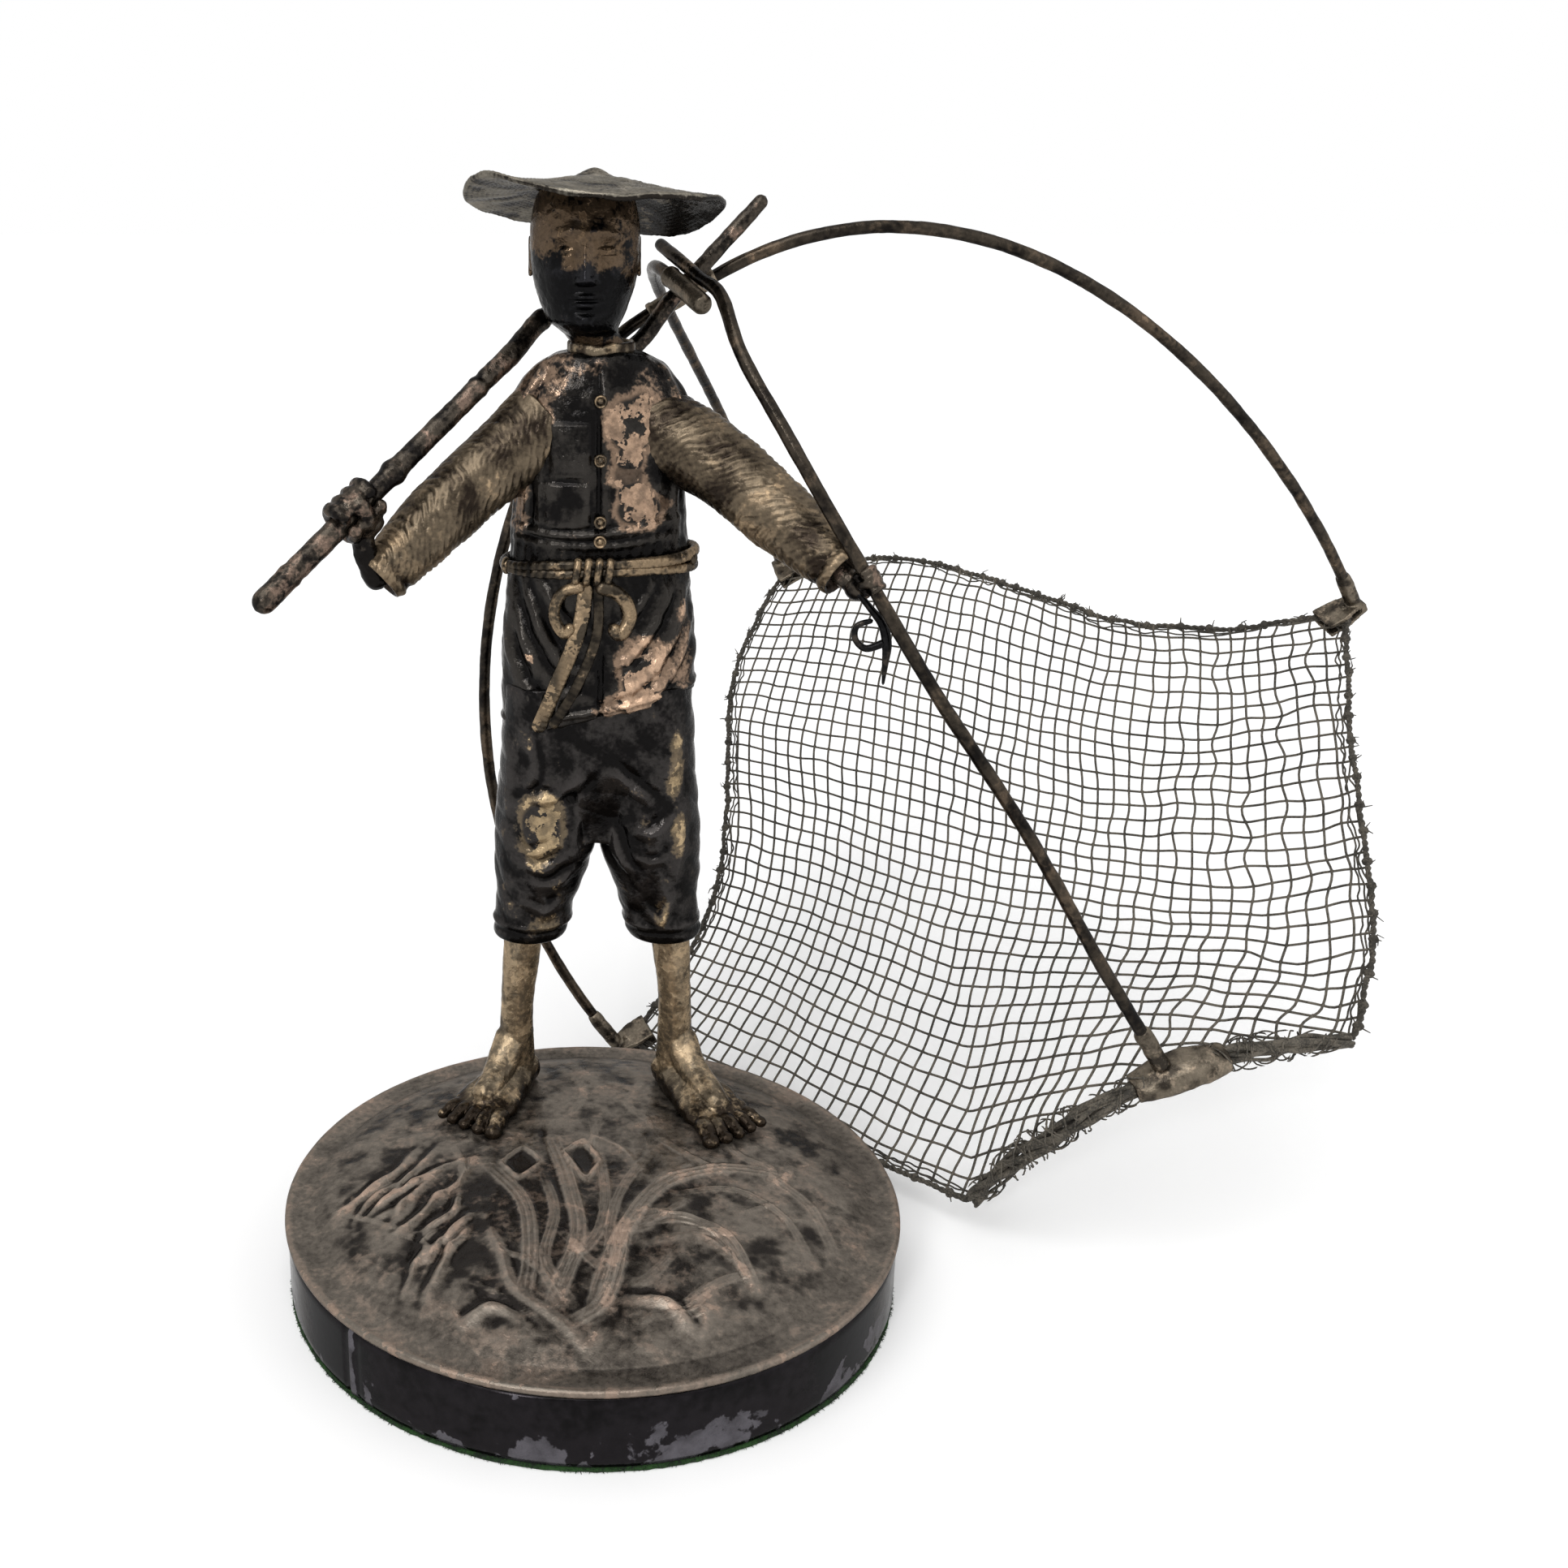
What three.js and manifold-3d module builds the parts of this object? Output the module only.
// A silver-plated fisherman on a round weighted base, with a lift net carried on a pole over the shoulder.
// Millimetres, +Z up. The origin is the middle of the felt underside, and the figure looks along -Y.
// Left and right are the figure's own, so its right arm is on the -X side.

import * as THREE from "three";
import { mergeVertices } from "three/addons/utils/BufferGeometryUtils.js";
import Module from "manifold-3d";

const wasm = await Module();
wasm.setup();

const at = (x, y, z) => new THREE.Vector3(x, y, z);
const past = (from, way, distance) => from.clone().addScaledVector(way, distance);
const between = (from, to, share) => from.clone().lerp(to, share);
const line = (from, to) => new THREE.LineCurve3(from, to);
const smooth = (points, closed = false) => new THREE.CatmullRomCurve3(points, closed, "centripetal");

const UP = at(0, 0, 1);
const FORWARD = at(0, -1, 0);
const FULL_TURN = 2 * Math.PI;

// Fits shared by every piece
const SEAT_GAP = 0.3; // left between two pieces that touch
const BORE_GAP = 0.35; // left all round a rod in its socket
const FACET_GAP = 0.15; // extra gap that a piece on a curved face needs for the flats between points
const OVERSHOOT = 2; // how far a cutter runs past the face it opens

// Base
const FELT_INSET = 1.4; // from the band's face in to the felt's edge
const FELT_THICKNESS = 1.0;
const BAND_RADIUS = 74.6;
const BAND_WALL = 1.4;
const BAND_HEIGHT = 17.4;
const BAND_SEAM_ANGLE = THREE.MathUtils.degToRad(-136);
const BAND_SEAM_WIDTH = 0.6;
const WEIGHT_HEIGHT = 13;
const LIP_OVERHANG = 0.6; // how far the plate's rolled lip stands out past the band
const LIP_HEIGHT = 1.8;
const LIP_ROUND = 0.5;
const RING_WIDTH = 7; // plain ring inside the lip
const RING_RISE = 0.9;
const DOME_RISE = 6.2;
const PLATE_WALL = 1.6;

// Feet and legs
const BODY_X = 1.5; // the figure stands a little to its left of the base's middle
const BODY_Y = 37; // and behind it, so the front of the base is free for its relief
const ANKLE_SPREAD = 21.5; // from the body's middle to each ankle
const ANKLE_Y = 43;
const TOE_SPREAD = 35.5;
const TOE_Y = 16;
const HEEL_LENGTH = 8;
const FOOT_HALF_WIDTHS = [3.6, 6.2, 8.2, 10.4, 9]; // heel to toes
const FOOT_HALF_HEIGHTS = [3.6, 6.4, 5.6, 3.6, 2.0];
const ANKLE_RADIUS = 5.2;
const SHIN_RADIUS = 4.6;
const CALF_RADIUS = 4.8;
const CALF_OUTSET = 1.35; // how far outside the cuff's middle the calf stands
const PEG_RADIUS = 3.2; // the peg that holds the foot casting in the trouser leg
const PEG_LENGTH = 6;
const STUD_RADIUS = 1.5;
const STUD_LENGTH = 8.5;
const STUD_FROM_ANKLE = [2, -5]; // outward and forward
const NUT_RADIUS = 3.4;
const NUT_HEIGHT = 2.6;

// Trousers
const CUFF_Z = 74;
const CUFF_HALF_WIDTH = 9.65;
const CUFF_HALF_DEPTH = 9.6;
const CROTCH_Z = 99;
const THIGH_HALF_WIDTH = 12.7;
const THIGH_HALF_DEPTH = 12.6;
const CUFF_SPREAD = 17.45; // from the body's middle to a leg's middle at the cuff
const THIGH_SPREAD = 13.2; // and at the crotch
const THIGH_TAPER = 3.3; // how much narrower a leg's half width is at its top
const HIP_HALF_WIDTH = 22.4;
const HIP_HALF_DEPTH = 13.4;

// Jacket
const HEM_Z = 136.2;
const HEM_SLOPE = 0.2; // the hem climbs toward the figure's left
const SKIRT_HALF_WIDTH = 23.6;
const SKIRT_HALF_DEPTH = 14.8;
const HEM_TO_WAIST = 35.3;
const WAIST_HALF_WIDTH = 21.4;
const WAIST_HALF_DEPTH = 12.2;
const WAIST_TO_CHEST = 22.5;
const CHEST_HALF_WIDTH = 20.2;
const CHEST_HALF_DEPTH = 12.6;
const CHEST_TO_SHOULDER = 15;
const SHOULDER_HALF_WIDTH = 20.5;
const SHOULDER_HALF_DEPTH = 10.8;
const SHOULDER_TO_NECKLINE = 10;
const COLLAR_HEIGHT = 3.2;
const COLLAR_WALL = 1.3;
const BUTTON_RADIUS = 1.5;
const BUTTON_THICKNESS = 1.1;
const BUTTON_DROPS = [9.5, 22.5, 36.5, 41]; // below the neckline

// Waist cord and bow
const CORD_RADIUS = 1.15;
const CORD_PITCH = 1.8; // between the cord's two turns
const KNOT_HALF_SIZE = [5.2, 2.2, 3.1];
const BOW_CORD_RADIUS = 1.3;
const BOW_LOOP_REACH = 8.4;
const BOW_LOOP_DROP = 15;
const TAIL_DROP = 33;
const TAIL_SWAY = 11;

// Arms
const ARMPIT_INSET = 7.7; // how far inside the jacket a sleeve starts
const SLEEVE_ROOT_DROP = 7.5;
const SLEEVE_RADII = [9.4, 8.3, 7.8, 6.0]; // shoulder to cuff
const WRIST_RADIUS = 2.7;
const FIST_RADIUS = 6.0;
const FIST_FROM_BUTT = 32; // along the pole
const LEFT_CUFF_AT = 0.88; // share of the way from elbow to wrist
const PALM_RADIUS = 4.1;
const POLE_TRAVEL = 8; // how far the pole slides on through the fist
const HOOK_RADIUS = 0.75;

// Head and hat
const NECK_RADIUS = 6.2;
const NECK_LENGTH = 5; // from the neckline to the chin
const HEAD_HEIGHT = 36;
const HEAD_HALF_WIDTH = 12.4;
const HEAD_SHIFT = 3.6; // how far the head leans to the figure's right of its neck
const HEAD_HALF_DEPTH = 13.4;
const EAR_HALF_SIZE = [1.2, 2.4, 3.9];
const NOSE_RADIUS = 2.1;
const NOSE_HEIGHT = 7;
const HAT_RADIUS = 29;
const HAT_SEAT_DEPTH = 1.8; // how far the hat's apex lies below the full height of the head
const HAT_DROP = 7.6; // from the apex down to the mean brim
const HAT_CURL = 2.4; // how far the sides turn up
const HAT_BACK_TILT = 0.1; // the front of the brim is higher than the back
const HAT_SIDE_TILT = 0.05; // the right side of the brim is higher than the left
const HAT_THICKNESS = 1.2;
const HAT_KNOB_RADIUS = 5.5;
const HAT_KNOB_RISE = 1.2;
// Where the brim is bent: a direction and a spread in degrees, and how far up
const HAT_BENDS = [
  [218, 30, 4],
  [45, 35, -3],
];

// Pole over the shoulder, bent round the nape
const POLE_RADII = [2.8, 2.5, 2.4, 2.1, 1.7]; // butt to tip
const POLE_HUB_RADIUS = 2.1;
const POLE_RING_FROM_BUTT = 45; // the bamboo ring just past the fist
const POLE_RING_RADIUS = 3.3;
const POLE_RING_LENGTH = 3;

// Hub of the lift net: two socket tubes crossed on the pole
const ROD_RADIUS = 1.55;
const SOCKET_WALL = 0.5;
const FRONT_SOCKET_LENGTH = 20;
const FRONT_SOCKET_DEPTH = 9; // how far the back rod goes in
const SIDE_SOCKET_LENGTH = 18;
const ROD_TAIL = 14; // how far the front rod runs on past the hub
const FRONT_WAY = at(0.36, -0.88, -0.31).normalize();
const SIDE_WAY = at(0.87, 0.04, 0.49).normalize();

// The bowed rods: each holds its first direction for its reach, then bends toward its bend point and its tip
const BACK_ROD = { reach: 43, bend: at(53, 193, 182), tip: at(73.5, 254, 127) };
const LEFT_ROD = { reach: 79, bend: at(178, 86, 206), tip: at(228.5, 128, 139.5) };
const LOW_ROD = { reach: 45, bend: at(-57, 99, 90.5), tip: at(10, 97, 9) };

// Net: a square hung by its corners, its front corner folded under along a roll
const NET_CELLS = 12; // along each side
const NET_FLAT_CORNER = at(167, -9.3, 29.4); // where the folded corner would lie if it were flat
const NET_INSET = 3.5; // from a rod's tip in to the net's corner
const NET_STRAND = 1.3;
const NET_THICKNESS = 1.0;
const NET_BELLY = 12;
// How each side of the net strays from a straight line: a sag inward or outward, and a wave along it
const LOW_SIDE_WAVE = [-22.5, 7.1];
const TOP_SIDE_WAVE = [-2.2, 10.6];
const BACK_SIDE_WAVE = [4.6, 9.2];
const FRONT_SIDE_WAVE = [13.8, 4.8];
const FOLD_ON_LOW_SIDE = 0.61; // share of the low side before the fold
const FOLD_ON_LEFT_SIDE = 0.21; // share of the left side before the fold
const FOLD_LIFT = 26; // how far the front clip lifts the fold out of the net's plane
const FOLD_LIFT_SPREAD = 0.28; // share of a side over which that lift dies out
const FOLD_CLIP_AT = 0.58; // where along the fold the front clip grips it
const BORDER_RADIUS = 0.7;
const BORDER_KNOT_RADIUS = 0.8; // the border cord is thicker at its corners
const ROLL_RADII = [2.0, 2.5, 2.3, 2.5, 1.9]; // along the fold

// Corner clips: folded plates gripping the net
const CLIP_OUTWARD = 5.8; // from the net's corner to the clip's outer end
const CLIP_INWARD = 7.2;
const CLIP_HALF_WIDTH = 4.5;
const CLIP_HALF_THICKNESS = 2.4;
const FRONT_CLIP_LENGTH = 24;
const FRONT_CLIP_HALF_WIDTH = 6;
const FRONT_CLIP_HALF_THICKNESS = 4.2;
const FRONT_CLIP_HALF_SLOT = 2; // the netting climbs steeply there, so its slot is wide

// Heights worked out from the sizes above
const BAND_Z = FELT_THICKNESS + SEAT_GAP;
const PLATE_Z = BAND_Z + BAND_HEIGHT + SEAT_GAP;
const RIM_Z = PLATE_Z + LIP_HEIGHT;
const LIP_RADIUS = BAND_RADIUS + LIP_OVERHANG;
const DOME_RADIUS = LIP_RADIUS - RING_WIDTH;
const DOME_Z = RIM_Z + RING_RISE + DOME_RISE;
const WAIST_Z = HEM_Z + HEM_TO_WAIST;
const CHEST_Z = WAIST_Z + WAIST_TO_CHEST;
const SHOULDER_Z = CHEST_Z + CHEST_TO_SHOULDER;
const NECKLINE_Z = SHOULDER_Z + SHOULDER_TO_NECKLINE;
const CHIN_Z = NECKLINE_Z + NECK_LENGTH;
const HAT_APEX_Z = CHIN_Z + HEAD_HEIGHT - HAT_SEAT_DEPTH;

// Places that go with the shoulders: rightward, backward and upward of the middle of the neckline
const fromNeck = (x, y, z) => at(BODY_X + x, BODY_Y + y, NECKLINE_Z + z);
const RIGHT_ELBOW = fromNeck(-51, -17.5, -48.7);
const LEFT_ELBOW = fromNeck(41.5, -15, -35.2);
const LEFT_WRIST = fromNeck(56, -27, -47.5);
const POLE_BUTT = fromNeck(-76, -37, -51.7);
const POLE_SHOULDER = fromNeck(-10, 10.9, 9.6);
const POLE_NAPE = fromNeck(8, 17.8, 1.5);
const POLE_HUB = fromNeck(19.5, 20, 13.6);
const POLE_TIP = fromNeck(39.5, 24, 34.6);

// The front rod passes the left hand on its way down to the fold in the net
const FRONT_ROD_BENDS = [
  fromNeck(31.2, -12, 1.2),
  fromNeck(40.9, -20.5, -15.5),
  fromNeck(52.9, -27.5, -35.7),
  at(75.6, 0.5, 149.2),
  at(98.4, -4.5, 116.3),
  at(119.1, -3.5, 82.9),
];

// Finishes
const tarnishedSilver = { color: 0x4a463f, roughness: 0.42, metalness: 0.9 };
const blackSilver = { color: 0x23242a, roughness: 0.32, metalness: 0.9 };
const wornCopper = { color: 0x8c7460, roughness: 0.45, metalness: 0.85 };
const dullBronze = { color: 0x4d463e, roughness: 0.6, metalness: 0.75 };
const netCord = { color: 0x3c3a34, roughness: 0.95, metalness: 0 };
const greenFelt = { color: 0x1d3620, roughness: 1, metalness: 0 };
const fillPlaster = { color: 0xb9b2a2, roughness: 0.95, metalness: 0 };
const steel = { color: 0x8d8f92, roughness: 0.45, metalness: 0.9 };

const fisherman = new THREE.Group();
fisherman.name = "fisherman";

function addPiece(name, geometry, finish) {
  const mesh = new THREE.Mesh(geometry, new THREE.MeshStandardMaterial(finish));
  mesh.name = name;
  fisherman.add(mesh);
}

// Solids: a closed geometry becomes one that can be cut and joined

function toSolid(geometry) {
  const bare = geometry.clone();
  bare.deleteAttribute("normal");
  bare.deleteAttribute("uv");
  const merged = mergeVertices(bare, 1e-5);
  const { array, count } = merged.attributes.position;
  const vertProperties = new Float32Array(array.buffer.slice(0, count * 12));
  const triVerts = new Uint32Array(merged.index.array);
  return new wasm.Manifold(new wasm.Mesh({ numProp: 3, vertProperties, triVerts }));
}

function toGeometry(solid) {
  const { vertProperties, triVerts } = solid.getMesh();
  return fromPoints(new THREE.BufferAttribute(vertProperties, 3), new THREE.BufferAttribute(triVerts, 1));
}

function fromPoints(points, index) {
  const geometry = new THREE.BufferGeometry();
  if (Array.isArray(points)) geometry.setFromPoints(points);
  else geometry.setAttribute("position", points);
  geometry.setIndex(index);
  geometry.computeVertexNormals();
  return geometry;
}

function join(...geometries) {
  return toGeometry(geometries.map(toSolid).reduce((sum, next) => sum.add(next)));
}

function cut(geometry, ...cutters) {
  return toGeometry(cutters.map(toSolid).reduce((left, next) => left.subtract(next), toSolid(geometry)));
}

// The largest body of a solid, without the crumbs that a cut leaves
function largest(geometry) {
  const bodies = toSolid(geometry).decompose();
  return toGeometry(bodies.reduce((best, body) => (body.volume() > best.volume() ? body : best)));
}

// Shapes

// Positive where the triangles face outward
function enclosedVolume(points, index) {
  let volume = 0;
  for (let i = 0; i < index.length; i += 3) {
    const [a, b, c] = index.slice(i, i + 3).map((k) => points[k]);
    volume += a.dot(b.clone().cross(c)) / 6;
  }
  return volume;
}

// Rings of points, each with the same count, become a closed skin with a cap at both ends
function skin(rings) {
  const sides = rings[0].length;
  const points = rings.flat();
  const index = [];
  for (let ring = 0; ring + 1 < rings.length; ring += 1) {
    for (let side = 0; side < sides; side += 1) {
      const a = ring * sides + side;
      const b = ring * sides + ((side + 1) % sides);
      index.push(a, b, b + sides, a, b + sides, a + sides);
    }
  }
  for (const ring of [0, rings.length - 1]) {
    const middle = points.length;
    points.push(average(rings[ring]));
    for (let side = 0; side < sides; side += 1) {
      const a = ring * sides + side;
      const b = ring * sides + ((side + 1) % sides);
      index.push(...(ring === 0 ? [middle, b, a] : [middle, a, b]));
    }
  }
  return fromPoints(points, enclosedVolume(points, index) < 0 ? index.reverse() : index);
}

function average(points) {
  return points.reduce((sum, point) => sum.add(point), at(0, 0, 0)).divideScalar(points.length);
}

// A bar along a curve: wide(t) is its half width beside `across`, and deep(t) square to that.
// A power under 1 squares the section's corners.
function bar(curve, { wide, deep = wide, steps, sides, across = UP, power = 1 }) {
  const squared = (value) => Math.sign(value) * Math.abs(value) ** power;
  const rings = [];
  for (let step = 0; step <= steps; step += 1) {
    const t = step / steps;
    const centre = curve.getPointAt(t);
    const along = curve.getTangentAt(t);
    const first = past(across, along, -across.dot(along)).normalize();
    const second = along.clone().cross(first);
    const ring = [];
    for (let side = 0; side < sides; side += 1) {
      const angle = (side / sides) * FULL_TURN;
      const point = past(centre, first, squared(Math.cos(angle)) * wide(t));
      ring.push(past(point, second, squared(Math.sin(angle)) * deep(t)));
    }
    rings.push(ring);
  }
  return skin(rings);
}

// A round wire of one radius, with frames carried along the curve so that it never twists
function wire(curve, radius, steps, sides = 8) {
  const section = new THREE.Shape();
  section.absarc(0, 0, radius, 0, FULL_TURN);
  const settings = { steps, curveSegments: sides / 2, extrudePath: curve, bevelEnabled: false };
  return new THREE.ExtrudeGeometry(section, settings);
}

// A value that passes through the given ones at even shares of a bar
function eased(values, grow = 0) {
  const track = new THREE.SplineCurve(values.map((value, i) => new THREE.Vector2(i, value)));
  return (t) => track.getPoint(t).y + grow;
}

function disc(radius, bottom, top, [x, y] = [0, 0], segments = 40) {
  const geometry = new THREE.CylinderGeometry(radius, radius, top - bottom, segments);
  geometry.rotateX(Math.PI / 2);
  geometry.translate(x, y, (top + bottom) / 2);
  return geometry;
}

function turned(profile, segments = 36) {
  const geometry = new THREE.LatheGeometry(profile.map(([r, z]) => new THREE.Vector2(r, z)), segments);
  geometry.rotateX(Math.PI / 2);
  return geometry;
}

function ball(centre, [halfX, halfY, halfZ], segments = 12) {
  const geometry = new THREE.SphereGeometry(1, segments, Math.round(segments * 0.67));
  geometry.scale(halfX, halfY, halfZ);
  geometry.translate(...centre.toArray());
  return geometry;
}

function oval(x, y, z, halfWidth, halfDepth, sides) {
  const ring = [];
  for (let i = 0; i < sides; i += 1) {
    const angle = (i / sides) * FULL_TURN;
    ring.push(at(x + halfWidth * Math.cos(angle), y + halfDepth * Math.sin(angle), z));
  }
  return ring;
}

// Base: felt, filling, side band with its soldered seam, and the domed plate with a rolled lip

function domeHeight(r) {
  if (r >= DOME_RADIUS) return RIM_Z;
  const share = r / DOME_RADIUS;
  return DOME_Z - DOME_RISE * share ** 3.2 - RING_RISE * share ** 16;
}

function domeProfile(lift) {
  const steps = 5;
  const points = [];
  for (let i = 0; i <= steps; i += 1) {
    const r = (DOME_RADIUS * i) / steps;
    points.push([r, domeHeight(r) + lift]);
  }
  return points;
}

function buildBase() {
  addPiece("base_felt", disc(BAND_RADIUS - FELT_INSET, 0, FELT_THICKNESS), greenFelt);
  const fillRadius = BAND_RADIUS - BAND_WALL - SEAT_GAP;
  addPiece("base_weight", disc(fillRadius, BAND_Z, BAND_Z + WEIGHT_HEIGHT), fillPlaster);

  const from = BAND_SEAM_ANGLE + BAND_SEAM_WIDTH / 2 / BAND_RADIUS;
  const to = from + FULL_TURN - BAND_SEAM_WIDTH / BAND_RADIUS;
  const strip = new THREE.Shape();
  strip.absarc(0, 0, BAND_RADIUS, from, to);
  strip.absarc(0, 0, BAND_RADIUS - BAND_WALL, to, from, true);
  const settings = { depth: BAND_HEIGHT, curveSegments: 24, bevelEnabled: false };
  const band = new THREE.ExtrudeGeometry(strip, settings);
  band.translate(0, 0, BAND_Z);
  addPiece("base_side_band", band, blackSilver);

  const inLip = LIP_RADIUS - LIP_ROUND;
  const lip = [[inLip, PLATE_Z], [LIP_RADIUS, (PLATE_Z + RIM_Z) / 2], [inLip, RIM_Z]];
  const plate = turned([...domeProfile(-PLATE_WALL), ...lip, ...domeProfile(0).reverse()]);
  const holeTop = DOME_Z + OVERSHOOT;
  const holes = [-1, 1].map((side) => disc(STUD_RADIUS + BORE_GAP, PLATE_Z, holeTop, studPlace(side), 12));
  addPiece("base_top_plate", cut(plate, ...holes), dullBronze);
}

// Feet: bare, toes turned out, each on a stud through the plate with a nut under it

function studPlace(side) {
  const [outward, forward] = STUD_FROM_ANKLE;
  return [BODY_X + side * (ANKLE_SPREAD + outward), ANKLE_Y + forward];
}

function stud(side, grow) {
  const place = studPlace(side);
  const middle = domeHeight(Math.hypot(...place)) + SEAT_GAP;
  const half = STUD_LENGTH / 2 + grow;
  return disc(STUD_RADIUS + grow, middle - half, middle + half, place, 12);
}

function footPath(side) {
  const ankle = at(BODY_X + side * ANKLE_SPREAD, ANKLE_Y, DOME_Z + 1.6);
  const toe = at(BODY_X + side * TOE_SPREAD, TOE_Y, DOME_Z + 0.6);
  const heel = past(ankle, ankle.clone().sub(toe).setZ(0).normalize(), HEEL_LENGTH);
  return smooth([heel, ankle, between(ankle, toe, 0.55), toe]);
}

// How far a leg's middle line lies from the body's middle at a height
function legSpread(z) {
  const share = THREE.MathUtils.clamp((z - CUFF_Z) / (CROTCH_Z - CUFF_Z), 0, 1);
  return THREE.MathUtils.lerp(CUFF_SPREAD, THIGH_SPREAD, share);
}

const calfTop = (side) => [BODY_X + side * (CUFF_SPREAD + CALF_OUTSET), BODY_Y + 1];

function peg(side, grow) {
  const bottom = CUFF_Z - SEAT_GAP - OVERSHOOT;
  return disc(PEG_RADIUS + grow, bottom, CUFF_Z + PEG_LENGTH + grow, calfTop(side), 16);
}

function buildFoot(name, side) {
  const foot = bar(footPath(side), {
    wide: eased(FOOT_HALF_WIDTHS),
    deep: eased(FOOT_HALF_HEIGHTS),
    across: at(1, 0, 0),
    steps: 9,
    sides: 14,
  });
  const ankle = at(BODY_X + side * ANKLE_SPREAD, ANKLE_Y, DOME_Z + 3);
  const knee = at(...calfTop(side), CUFF_Z);
  const calf = bar(line(ankle, knee), {
    wide: eased([ANKLE_RADIUS, SHIN_RADIUS, CALF_RADIUS, CALF_RADIUS]),
    across: FORWARD,
    steps: 6,
    sides: 14,
  });
  const ground = turned([[0, 0], [LIP_RADIUS, 0], ...domeProfile(SEAT_GAP).reverse()]);
  const aboveCuff = disc(2 * CALF_RADIUS, CUFF_Z - SEAT_GAP, CUFF_Z + PEG_LENGTH, calfTop(side), 12);
  const casting = join(cut(join(foot, calf), ground, aboveCuff), peg(side, 0));
  addPiece(name, cut(casting, stud(side, BORE_GAP)), wornCopper);

  addPiece(`${name}_stud`, stud(side, 0), steel);
  const place = studPlace(side);
  const nutTop = domeHeight(Math.hypot(...place) + NUT_RADIUS) - PLATE_WALL - SEAT_GAP;
  const nut = disc(NUT_RADIUS, nutTop - NUT_HEIGHT, nutTop, place, 6);
  addPiece(`${name}_nut`, cut(nut, stud(side, BORE_GAP)), steel);
}

// Trousers: two legs that meet at the crotch and run up under the jacket

function trouserLeg(side) {
  const top = HEM_Z + 8;
  const levels = [
    [CUFF_Z, CUFF_HALF_WIDTH, CUFF_HALF_DEPTH],
    [CUFF_Z + 6, CUFF_HALF_WIDTH + 0.4, CUFF_HALF_DEPTH + 0.4],
    [(CUFF_Z + CROTCH_Z) / 2, CUFF_HALF_WIDTH + 1, CUFF_HALF_DEPTH + 1.4],
    [CROTCH_Z, THIGH_HALF_WIDTH, THIGH_HALF_DEPTH],
    [(CROTCH_Z + top) / 2, THIGH_HALF_WIDTH - THIGH_TAPER / 2, THIGH_HALF_DEPTH],
    [top, THIGH_HALF_WIDTH - THIGH_TAPER, THIGH_HALF_DEPTH],
  ];
  return skin(levels.map(([z, wide, deep]) => oval(BODY_X + side * legSpread(z), BODY_Y, z, wide, deep, 16)));
}

function buildTrousers() {
  const hips = skin([
    oval(BODY_X, BODY_Y, CROTCH_Z + 6, HIP_HALF_WIDTH * 0.7, HIP_HALF_DEPTH * 0.8, 20),
    oval(BODY_X, BODY_Y, CROTCH_Z + 18, HIP_HALF_WIDTH, HIP_HALF_DEPTH, 20),
    oval(BODY_X, BODY_Y, HEM_Z + 8, HIP_HALF_WIDTH, HIP_HALF_DEPTH, 20),
  ]);
  const legs = join(trouserLeg(-1), trouserLeg(1), hips);
  addPiece("trousers", cut(legs, jacketShape(SEAT_GAP), peg(-1, SEAT_GAP), peg(1, SEAT_GAP)), blackSilver);
}

// Jacket: a skirt, a drawn-in waist, chest, sloping shoulders and a standing collar

const jacketTrack = smooth([
  at(SKIRT_HALF_WIDTH, SKIRT_HALF_DEPTH, HEM_Z),
  at(SKIRT_HALF_WIDTH - 0.3, SKIRT_HALF_DEPTH - 0.7, (HEM_Z + WAIST_Z) / 2),
  at(WAIST_HALF_WIDTH, WAIST_HALF_DEPTH, WAIST_Z),
  at(CHEST_HALF_WIDTH, CHEST_HALF_DEPTH, CHEST_Z),
  at(SHOULDER_HALF_WIDTH, SHOULDER_HALF_DEPTH, SHOULDER_Z),
  at(NECK_RADIUS + 9.6, NECK_RADIUS + 3, NECKLINE_Z - 3),
  at(NECK_RADIUS + 4.8, NECK_RADIUS + 2.2, NECKLINE_Z),
]);

// The jacket's half width and half depth at a height
function jacketAt(z) {
  let [low, high] = [0, 1];
  for (let i = 0; i < 24; i += 1) {
    const middle = (low + high) / 2;
    [low, high] = jacketTrack.getPoint(middle).z < z ? [middle, high] : [low, middle];
  }
  const { x: wide, y: deep } = jacketTrack.getPoint(low);
  return { wide, deep };
}

// Where the jacket's front surface is, at a place across it and a height
function jacketFront(x, z) {
  const { wide, deep } = jacketAt(z);
  return BODY_Y - deep * Math.sqrt(Math.max(0, 1 - ((x - BODY_X) / wide) ** 2));
}

function jacketShape(grow) {
  const rings = [];
  const steps = 13;
  for (let i = 0; i <= steps; i += 1) {
    const { x: wide, y: deep, z } = jacketTrack.getPoint(i / steps);
    const endLift = { 0: -grow, [steps]: grow }[i] ?? 0;
    const slope = HEM_SLOPE * Math.max(0, 1 - i / 4);
    const ring = oval(BODY_X, BODY_Y, z, wide + grow, deep + grow, 24);
    ring.forEach((point) => point.setZ(point.z + slope * (point.x - BODY_X) + endLift));
    rings.push(ring);
  }
  return skin(rings);
}

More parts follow.
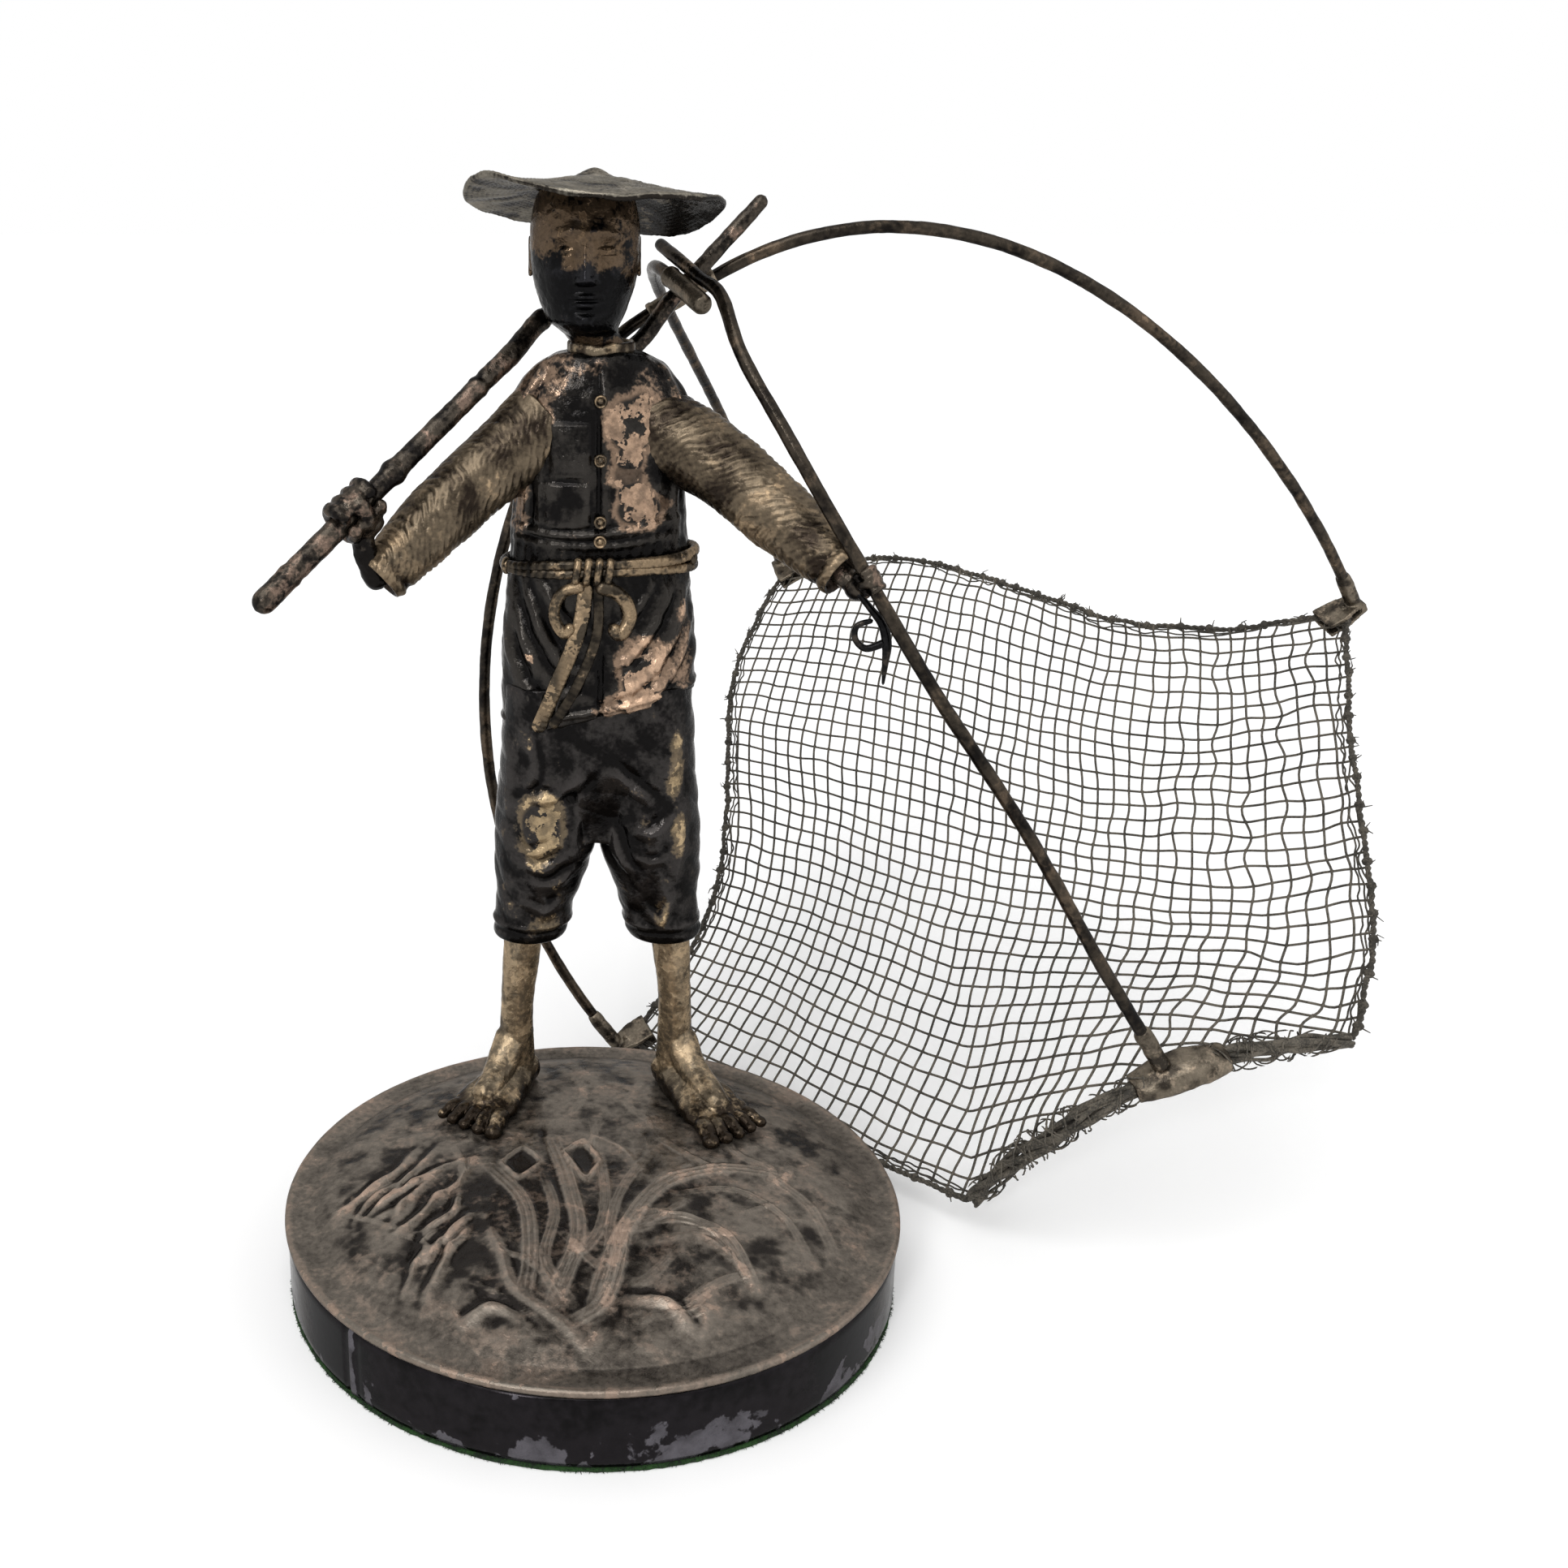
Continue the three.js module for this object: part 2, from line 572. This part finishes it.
function buildJacket() {
  addPiece("jacket", jacketShape(0), blackSilver);
  const bore = NECK_RADIUS + SEAT_GAP;
  const top = NECKLINE_Z + COLLAR_HEIGHT;
  const inside = disc(bore, NECKLINE_Z, top + OVERSHOOT, [BODY_X, BODY_Y], 24);
  const outside = disc(bore + COLLAR_WALL, NECKLINE_Z + SEAT_GAP, top, [BODY_X, BODY_Y], 24);
  addPiece("jacket_collar", cut(outside, inside), wornCopper);
  BUTTON_DROPS.forEach((drop, i) => {
    const z = NECKLINE_Z - drop;
    const button = new THREE.CylinderGeometry(BUTTON_RADIUS, BUTTON_RADIUS, BUTTON_THICKNESS, 12);
    const back = jacketFront(BODY_X + BUTTON_RADIUS, z + BUTTON_RADIUS) - SEAT_GAP - FACET_GAP;
    button.translate(BODY_X, back - BUTTON_THICKNESS / 2, z);
    addPiece(`jacket_button_${i + 1}`, cut(button, jacketShape(SEAT_GAP)), wornCopper);
  });
}

// Waist cord: two turns laid together round the jacket, with the bow and its tails tied in front

function buildWaistCord() {
  const { wide, deep } = jacketAt(WAIST_Z);
  const reach = CORD_RADIUS + SEAT_GAP + FACET_GAP;
  const round = smooth(oval(BODY_X, BODY_Y, WAIST_Z, wide + reach, deep + reach, 24), true);
  const turns = closedBand(round, CORD_RADIUS, CORD_RADIUS + CORD_PITCH / 2);
  addPiece("waist_cord", cut(turns, jacketShape(SEAT_GAP), bowKnot(SEAT_GAP)), wornCopper);

  const x = BODY_X - 2;
  const z = WAIST_Z - KNOT_HALF_SIZE[2] - 1;
  const loops = [-1, 1].map((side) => [
    [x, z],
    [x + side * BOW_LOOP_REACH * 0.8, z - BOW_LOOP_DROP * 0.25],
    [x + side * BOW_LOOP_REACH, z - BOW_LOOP_DROP * 0.7],
    [x + side * BOW_LOOP_REACH * 0.55, z - BOW_LOOP_DROP],
  ]);
  const tails = [0, 1].map((tail) => [
    [x + 2.9 * tail, z],
    [x + 2.9 * tail + 0.6, z - TAIL_DROP * 0.4],
    [x + 4.5 * tail - TAIL_SWAY * 0.55, z - TAIL_DROP * 0.8],
    [x + 5.9 * tail - TAIL_SWAY, z - TAIL_DROP + 5 * tail],
  ]);
  const cords = [...loops, ...tails].map(cordOnJacket);
  addPiece("waist_cord_bow", cut(join(bowKnot(0), ...cords), jacketShape(SEAT_GAP)), wornCopper);
}

// A closed band along a ring, with its section `thick` across and `tall` up
function closedBand(curve, thick, tall) {
  const [steps, sides] = [28, 8];
  const points = [];
  const index = [];
  for (let step = 0; step < steps; step += 1) {
    const centre = curve.getPointAt(step / steps);
    const side = curve.getTangentAt(step / steps).cross(UP).normalize();
    const next = (step + 1) % steps;
    for (let i = 0; i < sides; i += 1) {
      const angle = (i / sides) * FULL_TURN;
      const j = (i + 1) % sides;
      points.push(past(past(centre, side, thick * Math.cos(angle)), UP, tall * Math.sin(angle)));
      index.push(step * sides + i, next * sides + j, step * sides + j);
      index.push(step * sides + i, next * sides + i, next * sides + j);
    }
  }
  return fromPoints(points, index);
}

function cordOnJacket(places) {
  const standoff = BOW_CORD_RADIUS + SEAT_GAP + FACET_GAP;
  const curve = smooth(places.map(([x, z]) => at(x, jacketFront(x, z) - standoff, z)));
  return bar(curve, { wide: () => BOW_CORD_RADIUS, across: FORWARD, steps: 8, sides: 6 });
}

function bowKnot(grow) {
  const z = WAIST_Z - 1;
  const centre = at(BODY_X - 1, jacketFront(BODY_X, z) - KNOT_HALF_SIZE[1] * 0.9, z);
  return ball(centre, KNOT_HALF_SIZE.map((half) => half + grow));
}

// Arms: the right fist closes round the pole, and the left hand is beside the front rod

function buildSleeve(name, side, joints, ...cutters) {
  const spread = SHOULDER_HALF_WIDTH - ARMPIT_INSET;
  const root = at(BODY_X + side * spread, BODY_Y, SHOULDER_Z - SLEEVE_ROOT_DROP);
  const path = smooth([root, between(root, joints[0], 0.5).add(at(side, 0, 1)), ...joints]);
  const arm = bar(path, { wide: eased(SLEEVE_RADII), across: FORWARD, steps: 8, sides: 14 });
  addPiece(name, cut(arm, jacketShape(SEAT_GAP), ...cutters), tarnishedSilver);
}

function wrist(from, to, grow) {
  return bar(line(from, to), { wide: () => WRIST_RADIUS + grow, across: FORWARD, steps: 2, sides: 12 });
}

function buildRightArm() {
  const fist = polePath.getPointAt(FIST_FROM_BUTT / poleLength);
  const start = past(RIGHT_ELBOW, UP, -WRIST_RADIUS);
  buildSleeve("right_sleeve", -1, [RIGHT_ELBOW], wrist(start, fist, SEAT_GAP));
  const hand = join(wrist(start, fist, 0), ball(fist, [FIST_RADIUS, FIST_RADIUS, FIST_RADIUS], 14));
  addPiece("right_forearm_and_fist", cut(hand, poleShape(BORE_GAP)), tarnishedSilver);
}

function leftHand(grow) {
  const reach = LEFT_WRIST.clone().sub(LEFT_ELBOW).normalize();
  const palm = past(LEFT_WRIST, reach, 2);
  const size = PALM_RADIUS + grow;
  return join(wrist(between(LEFT_ELBOW, LEFT_WRIST, 0.35), palm, grow), ball(palm, [size, size, size]));
}

function buildLeftArm() {
  const cuff = between(LEFT_ELBOW, LEFT_WRIST, LEFT_CUFF_AT);
  buildSleeve("left_sleeve", 1, [LEFT_ELBOW, cuff], leftHand(SEAT_GAP), slidRod());
  addPiece("left_hand", largest(cut(leftHand(0), slidRod(), hook(BORE_GAP))), tarnishedSilver);
  addPiece("line_hook", hook(0), blackSilver);
}

// The room that the front rod needs beside the hand, at rest and as the pole slides
function slidRod() {
  const way = POLE_SHOULDER.clone().sub(POLE_BUTT).normalize();
  const steps = [0, 0.25, 0.5, 0.75, 1];
  return join(...steps.map((share) => frontRod(BORE_GAP).translate(...past(at(0, 0, 0), way, share * POLE_TRAVEL))));
}

// The hook has a stem out of the palm, an open curl and a spike below
function hook(grow) {
  const top = LEFT_WRIST.clone().add(at(1.1, -3.5, -1.7));
  const below = (x, z) => top.clone().add(at(x, 1.2, z));
  const stem = smooth([top, below(3.4, -4), below(6.2, -7.5), below(7.4, -12)]);
  const spike = line(below(7.5, -11), below(7.1, -21.6));
  const curl = smooth([
    below(7.2, -11.6),
    below(2.6, -13),
    below(0.2, -10.8),
    below(0.4, -7.9),
    below(4, -6.5),
  ]);
  const even = () => HOOK_RADIUS + grow;
  const pointed = eased([1.6 * HOOK_RADIUS, HOOK_RADIUS, 0.5 * HOOK_RADIUS], grow);
  return join(
    bar(stem, { wide: even, across: FORWARD, steps: 6, sides: 6 }),
    bar(spike, { wide: pointed, across: FORWARD, steps: 3, sides: 6 }),
    bar(curl, { wide: even, across: FORWARD, steps: 9, sides: 6 }),
  );
}

// Head, with a plain rounded face, and the shallow hat

function hatHeight(x, y) {
  const share = Math.hypot(x, y) / HAT_RADIUS;
  const cone = HAT_DROP * share ** 1.2;
  const knobShare = Math.min(1, (share * HAT_RADIUS) / HAT_KNOB_RADIUS);
  const knob = HAT_KNOB_RISE * (1 - knobShare ** 2) ** 2;
  const curl = HAT_CURL * (x / HAT_RADIUS) ** 2 * share;
  const direction = THREE.MathUtils.radToDeg(Math.atan2(y, x));
  const bends = HAT_BENDS.map(([middle, spread, rise]) => {
    const away = ((direction - middle + 900) % 360) - 180;
    return rise * share ** 3 * Math.exp(-((away / spread) ** 2));
  });
  const bent = bends.reduce((sum, bend) => sum + bend, 0);
  return HAT_APEX_Z - cone + knob + curl + bent - HAT_BACK_TILT * y - HAT_SIDE_TILT * x;
}

// The hat between two offsets from its upper face, as one skin out from a small middle and back
function hatShape(upper, lower) {
  const [sides, steps, middle] = [26, 4, 0.03];
  const ringAt = (share, offset) =>
    oval(0, 0, 0, HAT_RADIUS * share, HAT_RADIUS * share, sides).map(({ x, y }) =>
      at(BODY_X - 1.5 + x, BODY_Y - 1 + y, hatHeight(x, y) + offset),
    );
  const shares = [...Array(steps + 1).keys()].map((i) => middle + ((1 - middle) * i) / steps);
  const under = shares.map((share) => ringAt(share, lower));
  return skin([...under, ...shares.reverse().map((share) => ringAt(share, upper))]);
}

function buildHead() {
  // Each level has a share of the head's height, a forward shift, and shares of its half width and half depth
  const levels = [
    [0.04, 2.6, 0.6, 0.66],
    [0.16, 1.4, 0.82, 0.86],
    [0.34, 0, 0.95, 0.97],
    [0.52, 0, 1, 1],
    [0.7, 0, 0.97, 0.97],
    [0.86, 0, 0.8, 0.82],
    [0.97, 0, 0.4, 0.42],
  ];
  const height = (share) => CHIN_Z + HEAD_HEIGHT * share;
  const x = BODY_X - HEAD_SHIFT;
  const rings = levels.map(([share, forward, wide, deep]) =>
    oval(x, BODY_Y - forward, height(share), HEAD_HALF_WIDTH * wide, HEAD_HALF_DEPTH * deep, 20),
  );
  const neck = [NECKLINE_Z - 1, CHIN_Z - 1].map((z) => oval(BODY_X, BODY_Y, z, NECK_RADIUS, NECK_RADIUS, 20));
  const skull = skin([...neck, ...rings]);
  const ears = [-1, 1].map((side) =>
    ball(at(x + side * HEAD_HALF_WIDTH * 0.97, BODY_Y + 1, height(0.38)), EAR_HALF_SIZE, 8),
  );
  const nose = new THREE.ConeGeometry(NOSE_RADIUS, NOSE_HEIGHT, 8);
  nose.rotateX(Math.PI / 2);
  nose.translate(x, BODY_Y - HEAD_HALF_DEPTH + 0.6, height(0.33));
  const underHat = hatShape(HEAD_HEIGHT, -HAT_THICKNESS - SEAT_GAP);
  addPiece("head", cut(join(skull, nose, ...ears), underHat, jacketShape(SEAT_GAP)), tarnishedSilver);
  addPiece("hat", hatShape(0, -HAT_THICKNESS), tarnishedSilver);
}

// Pole: tapered, with a bamboo ring past the fist

const polePath = smooth([
  POLE_BUTT,
  between(POLE_BUTT, POLE_SHOULDER, 0.45),
  between(POLE_BUTT, POLE_SHOULDER, 0.82),
  POLE_SHOULDER,
  POLE_NAPE,
  POLE_HUB,
  POLE_TIP,
]);
const poleLength = polePath.getLength();

function poleShape(grow) {
  return bar(polePath, { wide: eased(POLE_RADII, grow), across: FORWARD, steps: 26, sides: 10 });
}

function buildPole() {
  const share = (distance) => polePath.getPointAt(distance / poleLength);
  const half = POLE_RING_LENGTH / 2;
  const path = line(share(POLE_RING_FROM_BUTT - half), share(POLE_RING_FROM_BUTT + half));
  const radii = eased([POLE_RADII[2], POLE_RING_RADIUS, POLE_RADII[2]]);
  const ring = bar(path, { wide: radii, across: FORWARD, steps: 4, sides: 10 });
  addPiece("carrying_pole", join(poleShape(0), ring), tarnishedSilver);
}

// Hub sockets and the four bowed rods

const SOCKET_RADIUS = ROD_RADIUS + BORE_GAP + SOCKET_WALL;
const SOCKET_STANDOFF = POLE_HUB_RADIUS + SOCKET_RADIUS + SEAT_GAP + FACET_GAP;
const poleWay = POLE_TIP.clone().sub(POLE_HUB).normalize();
const overPole = FRONT_WAY.clone().cross(poleWay).normalize();
const underPole = poleWay.clone().cross(SIDE_WAY).normalize();
const besideSocket = overPole.clone().cross(FRONT_WAY).normalize();
const frontSocketAt = past(POLE_HUB, overPole, SOCKET_STANDOFF);
const frontRodAt = past(frontSocketAt, besideSocket, SOCKET_RADIUS + ROD_RADIUS + SEAT_GAP);
const sideSocketAt = past(POLE_HUB, underPole, SOCKET_STANDOFF);
const sideSocketHalf = SIDE_SOCKET_LENGTH / 2;

// A rod that starts straight in its socket, then bows over to its tip
function bowedRod({ reach, bend, tip }, mouth, way, depth) {
  const bow = new THREE.CubicBezierCurve3(mouth, past(mouth, way, reach), bend, tip);
  const inside = [1, 0.66, 0.33].map((share) => past(mouth, way, -depth * share));
  return smooth([...inside, ...bow.getSpacedPoints(14)]);
}

const backWay = FRONT_WAY.clone().negate();
const lowWay = SIDE_WAY.clone().negate();
const sideDepth = sideSocketHalf - 1;
const backRodPath = bowedRod(BACK_ROD, frontSocketAt, backWay, FRONT_SOCKET_DEPTH);
const leftRodPath = bowedRod(LEFT_ROD, past(sideSocketAt, SIDE_WAY, sideSocketHalf), SIDE_WAY, sideDepth);
const lowRodPath = bowedRod(LOW_ROD, past(sideSocketAt, lowWay, sideSocketHalf), lowWay, sideDepth);

// The front rod lies beside the front socket, passes the left hand and bends down to the fold in the net
function frontRodPath() {
  const roll = eased(ROLL_RADII)(FOLD_CLIP_AT);
  return smooth([
    past(frontRodAt, FRONT_WAY, -ROD_TAIL),
    frontRodAt,
    past(frontRodAt, FRONT_WAY, FRONT_SOCKET_LENGTH / 2),
    past(frontRodAt, FRONT_WAY, FRONT_SOCKET_LENGTH + 1),
    ...FRONT_ROD_BENDS,
    past(foldPoint(FOLD_CLIP_AT), netUp, roll + 2 * SEAT_GAP),
  ]);
}

function frontRod(grow) {
  return wire(frontRodPath(), ROD_RADIUS + grow, 30);
}

function socket(centre, way, [start, end], [boreStart, boreEnd]) {
  const outside = line(past(centre, way, start), past(centre, way, end));
  const inside = line(past(centre, way, boreStart), past(centre, way, boreEnd));
  return cut(wire(outside, SOCKET_RADIUS, 1, 12), wire(inside, ROD_RADIUS + BORE_GAP, 1, 12));
}

function buildHub() {
  const depth = FRONT_SOCKET_DEPTH + SEAT_GAP;
  const through = sideSocketHalf + OVERSHOOT;
  const front = socket(frontSocketAt, FRONT_WAY, [0, FRONT_SOCKET_LENGTH], [-OVERSHOOT, depth]);
  const side = socket(sideSocketAt, SIDE_WAY, [-sideSocketHalf, sideSocketHalf], [-through, through]);
  addPiece("hub_front_socket", front, dullBronze);
  addPiece("hub_side_socket", side, dullBronze);
}

function buildRods() {
  addPiece("front_rod", frontRod(0), tarnishedSilver);
  addPiece("back_rod", wire(backRodPath, ROD_RADIUS, 30), tarnishedSilver);
  addPiece("left_rod", wire(leftRodPath, ROD_RADIUS, 30), tarnishedSilver);
  addPiece("low_rod", wire(lowRodPath, ROD_RADIUS, 30), tarnishedSilver);
}

// Net: its corners are set in from the rods' tips, toward its middle

const flatCorners = [LOW_ROD.tip, NET_FLAT_CORNER, LEFT_ROD.tip, BACK_ROD.tip];
const netMiddle = average(flatCorners);
const toMiddle = (corner) => netMiddle.clone().sub(corner).normalize();
const [lowCorner, frontCorner, leftCorner, backCorner] = flatCorners.map((corner) =>
  past(corner, toMiddle(corner), NET_INSET),
);
const netSide = lowCorner.distanceTo(backCorner);
const netUp = leftCorner.clone().sub(lowCorner).cross(backCorner.clone().sub(frontCorner)).normalize();
const acrossU = frontCorner.clone().sub(lowCorner).normalize();
const acrossV = backCorner.clone().sub(lowCorner).normalize();

// Distance inside the fold line, and share along it, of a place on the net
function atFold(u, v) {
  const du = 1 - FOLD_ON_LOW_SIDE;
  const dv = FOLD_ON_LEFT_SIDE;
  const size = Math.hypot(du, dv);
  const inside = (du * v - dv * (u - FOLD_ON_LOW_SIDE)) / size;
  const share = ((u - FOLD_ON_LOW_SIDE) * du + v * dv) / size ** 2;
  return { inside: Math.max(0, inside), share };
}

// u runs from the low corner to the front one, and v from the low corner to the back one
function netPoint(u, v, lift = 0) {
  const point = between(lowCorner, frontCorner, u).lerp(between(backCorner, leftCorner, u), v);
  const stray = ([sag, wave], t) => 4 * sag * t * (1 - t) + wave * Math.sin(FULL_TURN * t);
  const onLow = (1 - v) ** 2 * stray(LOW_SIDE_WAVE, u);
  const onBack = (1 - u) ** 2 * stray(BACK_SIDE_WAVE, v);
  point.addScaledVector(acrossV, onLow + v ** 2 * stray(TOP_SIDE_WAVE, u));
  point.addScaledVector(acrossU, onBack + u ** 2 * stray(FRONT_SIDE_WAVE, v));
  const { inside, share } = atFold(u, v);
  const bow = Math.max(0, 4 * share * (1 - share));
  const rise = FOLD_LIFT * bow * Math.exp(-((inside / FOLD_LIFT_SPREAD) ** 2));
  const belly = NET_BELLY * 16 * u * (1 - u) * v * (1 - v);
  return point.addScaledVector(netUp, rise - belly + lift);
}

// A smooth curve along the net between two places on it
function netLine([u0, v0], [u1, v1], steps) {
  const shares = [...Array(steps + 1).keys()].map((i) => i / steps);
  return smooth(shares.map((t) => netPoint(u0 + (u1 - u0) * t, v0 + (v1 - v0) * t)));
}

const foldStart = [FOLD_ON_LOW_SIDE, 0];
const foldEnd = [1, FOLD_ON_LEFT_SIDE];
const foldLine = netLine(foldStart, foldEnd, 10);

function foldPoint(share) {
  return netPoint(foldStart[0] + share * (foldEnd[0] - foldStart[0]), share * foldEnd[1]);
}

function foldRoll(grow) {
  return bar(foldLine, { wide: eased(ROLL_RADII, grow), across: netUp, steps: 16, sides: 10 });
}

// Everything on the far side of the fold line, for cutting the netting off there
function pastFold() {
  const [start, end] = [netPoint(...foldStart), netPoint(...foldEnd)];
  const way = end.clone().sub(start).normalize();
  const out = netUp.clone().cross(way).normalize();
  out.multiplyScalar(Math.sign(out.dot(frontCorner.clone().sub(start))));
  const far = start.distanceTo(end);
  const section = (distance) => {
    const edge = past(start, way, distance);
    const low = past(edge, netUp, -far);
    const high = past(edge, netUp, far);
    return [low, past(low, out, 2 * far), past(high, out, 2 * far), high];
  };
  return skin([section(-far), section(2 * far)]);
}

// The whole square of netting, each mesh a four-sided gap between flat strands
function netLattice() {
  const points = [];
  const index = [];
  const known = new Map();
  const vertex = (u, v, lift) => {
    const key = `${u.toFixed(6)} ${v.toFixed(6)} ${lift}`;
    if (!known.has(key)) {
      known.set(key, points.length);
      points.push(netPoint(u, v, (lift * NET_THICKNESS) / 2));
    }
    return known.get(key);
  };
  const quad = (a, b, c, d) => index.push(a, b, c, a, c, d);
  const inset = (BORDER_RADIUS + SEAT_GAP + FACET_GAP) / netSide; // clear of the border cord
  const edge = (NET_STRAND / 2 / netSide) * NET_CELLS;
  const share = (i) => inset + ((1 - 2 * inset) * i) / NET_CELLS;
  const around = [[0, 0], [1, 0], [1, 1], [0, 1]];
  const last = NET_CELLS - 1;
  for (let i = 0; i < NET_CELLS; i += 1) {
    for (let j = 0; j < NET_CELLS; j += 1) {
      const onRim = [j === 0, i === last, j === last, i === 0];
      const knot = ([du, dv], lift) => vertex(share(i + du), share(j + dv), lift);
      const inner = (d) => Math.abs(d - edge);
      const gap = ([du, dv], lift) => vertex(share(i + inner(du)), share(j + inner(dv)), lift);
      around.forEach((from, way) => {
        const to = around[(way + 1) % 4];
        const face = (lift) => [knot(from, lift), knot(to, lift), gap(to, lift), gap(from, lift)];
        const [top, bottom] = [face(1), face(-1)];
        quad(...top);
        quad(...bottom.slice().reverse());
        quad(top[3], top[2], bottom[2], bottom[3]);
        if (onRim[way]) quad(top[1], top[0], bottom[0], bottom[1]);
      });
    }
  }
  return fromPoints(points, index);
}

// The cord round the net runs from the fold's left end, past three corners, to the fold's low end
function borderCord() {
  const stops = [foldEnd, [1, 1], [0, 1], [0, 0], foldStart];
  const sides = stops.slice(1).map((stop, i) => wire(netLine(stops[i], stop, 12), BORDER_RADIUS, 12, 6));
  const size = BORDER_KNOT_RADIUS;
  const knots = stops.slice(1, -1).map((stop) => ball(netPoint(...stop), [size, size, size], 8));
  return join(...sides, ...knots);
}

function buildNet() {
  addPiece("net", largest(cut(netLattice(), pastFold(), foldRoll(SEAT_GAP))), netCord);
  addPiece("net_border_cord", largest(cut(borderCord(), foldRoll(SEAT_GAP))), netCord);
  addPiece("net_fold_roll", foldRoll(0), netCord);
}

// Clips: each is a folded plate whose open side grips the net, with the rod's tip let into it

function clipBlock(curve, halfWidth, halfThickness, steps) {
  const section = { wide: () => halfThickness, deep: () => halfWidth, power: 0.5 };
  return bar(curve, { ...section, across: netUp, steps, sides: 12 });
}

// The slot that a clip leaves for the netting, from a curve inward
function netSlot(curve, inward, half, steps) {
  const depth = CLIP_OUTWARD + CLIP_INWARD + FRONT_CLIP_LENGTH;
  const rings = [];
  for (let i = 0; i <= steps; i += 1) {
    const low = past(curve.getPointAt(i / steps), netUp, -half);
    const high = past(curve.getPointAt(i / steps), netUp, half);
    rings.push([low, past(low, inward, depth), past(high, inward, depth), high]);
  }
  return skin(rings);
}

// A hole that takes the last stretch of a rod
function tipBore(path) {
  const [tip, way] = [path.getPoint(1), path.getTangent(1)];
  const hole = line(past(tip, way, -2 * CLIP_INWARD), past(tip, way, SEAT_GAP));
  return wire(hole, ROD_RADIUS + BORE_GAP, 1, 12);
}

function buildCornerClip(name, corner, rodPath) {
  const inward = toMiddle(corner);
  const sideways = netUp.clone().cross(inward);
  const slotHalf = BORDER_KNOT_RADIUS + SEAT_GAP;
  const mouth = past(corner, inward, -slotHalf);
  const reach = 2 * CLIP_HALF_WIDTH;
  const across = line(past(mouth, sideways, -reach), past(mouth, sideways, reach));
  const along = line(past(corner, inward, -CLIP_OUTWARD), past(corner, inward, CLIP_INWARD));
  const block = clipBlock(along, CLIP_HALF_WIDTH, CLIP_HALF_THICKNESS, 1);
  addPiece(name, cut(block, netSlot(across, inward, slotHalf, 1), tipBore(rodPath)), dullBronze);
}

function buildFrontClip() {
  const half = FRONT_CLIP_LENGTH / 2 / foldLine.getLength();
  const stops = [-1.5, -1, -0.5, 0, 0.5, 1, 1.5].map((k) => foldLine.getPointAt(FOLD_CLIP_AT + k * half));
  const gripped = smooth(stops.slice(1, -1));
  const inward = netUp.clone().cross(gripped.getTangent(0.5)).normalize();
  inward.multiplyScalar(Math.sign(inward.dot(netMiddle.clone().sub(stops[3]))));
  const block = clipBlock(gripped, FRONT_CLIP_HALF_WIDTH, FRONT_CLIP_HALF_THICKNESS, 4);
  const slot = netSlot(smooth(stops), inward, FRONT_CLIP_HALF_SLOT, 6);
  addPiece("front_clip", cut(block, foldRoll(SEAT_GAP), slot, tipBore(frontRodPath())), dullBronze);
}

function buildClips() {
  buildCornerClip("low_clip", lowCorner, lowRodPath);
  buildCornerClip("back_clip", backCorner, backRodPath);
  buildCornerClip("left_clip", leftCorner, leftRodPath);
  buildFrontClip();
}

buildBase();
buildFoot("right_foot", -1);
buildFoot("left_foot", 1);
buildTrousers();
buildJacket();
buildWaistCord();
buildRightArm();
buildLeftArm();
buildHead();
buildPole();
buildHub();
buildRods();
buildNet();
buildClips();

export default fisherman;
